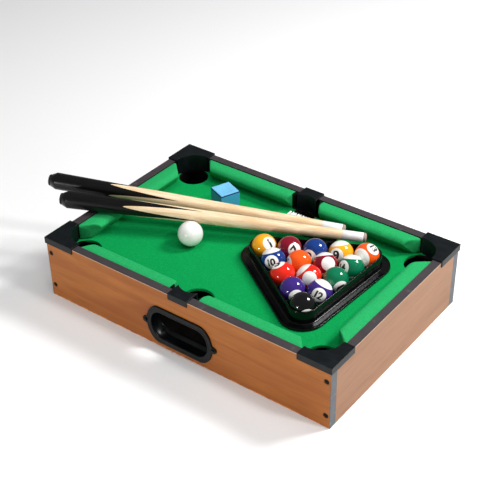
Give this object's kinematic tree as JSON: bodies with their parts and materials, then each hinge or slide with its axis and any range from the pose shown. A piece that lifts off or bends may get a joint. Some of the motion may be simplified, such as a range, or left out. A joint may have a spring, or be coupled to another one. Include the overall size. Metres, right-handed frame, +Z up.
{
  "type": "mini pool table",
  "caption": "Table-top pool table with felted bed, cushions, capped pockets and a ball return, with its balls, rack, cues, chalk and brush.",
  "frame": {"origin": "centre of the table's underside", "axes": "+X along the table, -Y out of the ball return in the front panel, +Z up"},
  "size_m": [0.3614, 0.2067, 0.0817],
  "materials": {
    "ball_01": "polished resin, solid colour",
    "ball_02": "polished resin, solid colour",
    "ball_03": "polished resin, solid colour",
    "ball_04": "polished resin, solid colour",
    "ball_05": "polished resin, solid colour",
    "ball_06": "polished resin, solid colour",
    "ball_07": "polished resin, solid colour",
    "ball_08": "polished resin, solid colour",
    "ball_09": "polished resin, white with a colour band",
    "ball_10": "polished resin, white with a colour band",
    "ball_11": "polished resin, white with a colour band",
    "ball_12": "polished resin, white with a colour band",
    "ball_13": "polished resin, white with a colour band",
    "ball_14": "polished resin, white with a colour band",
    "ball_15": "polished resin, white with a colour band",
    "ball_white": "polished resin",
    "black_gloss_plastic": "moulded, glossy",
    "black_plastic": "moulded, satin",
    "black_steel": "blackened",
    "bristle_white": "nylon bristle",
    "brush_wood": "black stained, lacquered",
    "bumper_rubber": "matt",
    "chalk_blue": "dusty chalk",
    "cue_maple": "lacquered, black butt with splice points",
    "edge_band": "satin foil",
    "end_band": "satin foil",
    "fibreboard": "raw fibreboard",
    "green_cloth": "napped felt",
    "printed_wood_panel": "wood-grain foil, satin",
    "tip_leather": "pressed leather",
    "white_plastic": "smooth",
    "wrapper_paper": "printed paper"
  },
  "bodies": {
    "table": {"ball_return_cup": "black_plastic", "bed_board": "fibreboard", "bed_cloth": "green_cloth", "bed_ledgers": "fibreboard", "bottom_board": "fibreboard", "cup_screws": "black_steel", "front_left_corner_cap": "black_plastic", "front_left_cushion": "green_cloth", "front_middle_cap": "black_plastic", "front_panel": "printed_wood_panel", "front_right_corner_cap": "black_plastic", "front_right_cushion": "green_cloth", "left_end_cushion": "green_cloth", "left_end_panel": "printed_wood_panel", "panel_end_bands": "end_band", "panel_screws": "black_steel", "rear_left_corner_cap": "black_plastic", "rear_left_cushion": "green_cloth", "rear_middle_cap": "black_plastic", "rear_panel": "printed_wood_panel", "rear_right_corner_cap": "black_plastic", "rear_right_cushion": "green_cloth", "right_end_cushion": "green_cloth", "right_end_panel": "printed_wood_panel", "runway_battens": "fibreboard", "runway_left": "fibreboard", "runway_right": "fibreboard", "top_edge_band_front": "edge_band", "top_edge_band_left": "edge_band", "top_edge_band_rear": "edge_band", "top_edge_band_right": "edge_band"},
    "ball_01": {"ball_01": "ball_01"},
    "ball_02": {"ball_02": "ball_02"},
    "ball_03": {"ball_03": "ball_03"},
    "ball_04": {"ball_04": "ball_04"},
    "ball_05": {"ball_05": "ball_05"},
    "ball_06": {"ball_06": "ball_06"},
    "ball_07": {"ball_07": "ball_07"},
    "ball_08": {"ball_08": "ball_08"},
    "ball_09": {"ball_09": "ball_09"},
    "ball_10": {"ball_10": "ball_10"},
    "ball_11": {"ball_11": "ball_11"},
    "ball_12": {"ball_12": "ball_12"},
    "ball_13": {"ball_13": "ball_13"},
    "ball_14": {"ball_14": "ball_14"},
    "ball_15": {"ball_15": "ball_15"},
    "brush": {"brush_bristles": "bristle_white", "brush_handle": "brush_wood"},
    "chalk": {"chalk_block": "chalk_blue", "chalk_wrapper": "wrapper_paper"},
    "cue_ball": {"cue_ball": "ball_white"},
    "front_cue": {"front_cue_bumper": "bumper_rubber", "front_cue_ferrule": "white_plastic", "front_cue_shaft": "cue_maple", "front_cue_tip": "tip_leather"},
    "rack": {"rack": "black_gloss_plastic"},
    "rear_cue": {"rear_cue_bumper": "bumper_rubber", "rear_cue_ferrule": "white_plastic", "rear_cue_shaft": "cue_maple", "rear_cue_tip": "tip_leather"}
  },
  "joints": [
    {"name": "ball_01_lift", "type": "slide", "parent": "table", "child": "ball_01", "axis": [0, 0, 1], "range_m": [0, 0.1]},
    {"name": "ball_02_lift", "type": "slide", "parent": "table", "child": "ball_02", "axis": [0, 0, 1], "range_m": [0, 0.1]},
    {"name": "ball_03_lift", "type": "slide", "parent": "table", "child": "ball_03", "axis": [0, 0, 1], "range_m": [0, 0.1]},
    {"name": "ball_04_lift", "type": "slide", "parent": "table", "child": "ball_04", "axis": [0, 0, 1], "range_m": [0, 0.1]},
    {"name": "ball_05_lift", "type": "slide", "parent": "table", "child": "ball_05", "axis": [0, 0, 1], "range_m": [0, 0.1]},
    {"name": "ball_06_lift", "type": "slide", "parent": "table", "child": "ball_06", "axis": [0, 0, 1], "range_m": [0, 0.1]},
    {"name": "ball_07_lift", "type": "slide", "parent": "table", "child": "ball_07", "axis": [0, 0, 1], "range_m": [0, 0.1]},
    {"name": "ball_08_lift", "type": "slide", "parent": "table", "child": "ball_08", "axis": [0, 0, 1], "range_m": [0, 0.1]},
    {"name": "ball_09_lift", "type": "slide", "parent": "table", "child": "ball_09", "axis": [0, 0, 1], "range_m": [0, 0.1]},
    {"name": "ball_10_lift", "type": "slide", "parent": "table", "child": "ball_10", "axis": [0, 0, 1], "range_m": [0, 0.1]},
    {"name": "ball_11_lift", "type": "slide", "parent": "table", "child": "ball_11", "axis": [0, 0, 1], "range_m": [0, 0.1]},
    {"name": "ball_12_lift", "type": "slide", "parent": "table", "child": "ball_12", "axis": [0, 0, 1], "range_m": [0, 0.1]},
    {"name": "ball_13_lift", "type": "slide", "parent": "table", "child": "ball_13", "axis": [0, 0, 1], "range_m": [0, 0.1]},
    {"name": "ball_14_lift", "type": "slide", "parent": "table", "child": "ball_14", "axis": [0, 0, 1], "range_m": [0, 0.1]},
    {"name": "ball_15_lift", "type": "slide", "parent": "table", "child": "ball_15", "axis": [0, 0, 1], "range_m": [0, 0.1]},
    {"name": "brush_sweep", "type": "slide", "parent": "table", "child": "brush", "axis": [-1, 0, 0], "range_m": [0, 0.035]},
    {"name": "chalk_lift", "type": "slide", "parent": "table", "child": "chalk", "axis": [0, 0, 1], "range_m": [0, 0.1]},
    {"name": "cue_ball_lift", "type": "slide", "parent": "table", "child": "cue_ball", "axis": [0, 0, 1], "range_m": [0, 0.1]},
    {"name": "front_cue_lift", "type": "slide", "parent": "table", "child": "front_cue", "axis": [0, 0, 1], "range_m": [0, 0.1]},
    {"name": "rack_lift", "type": "slide", "parent": "table", "child": "rack", "axis": [0, 0, 1], "range_m": [0, 0.1]},
    {"name": "rear_cue_lift", "type": "slide", "parent": "table", "child": "rear_cue", "axis": [0, 0, 1], "range_m": [0, 0.1]}
  ]
}
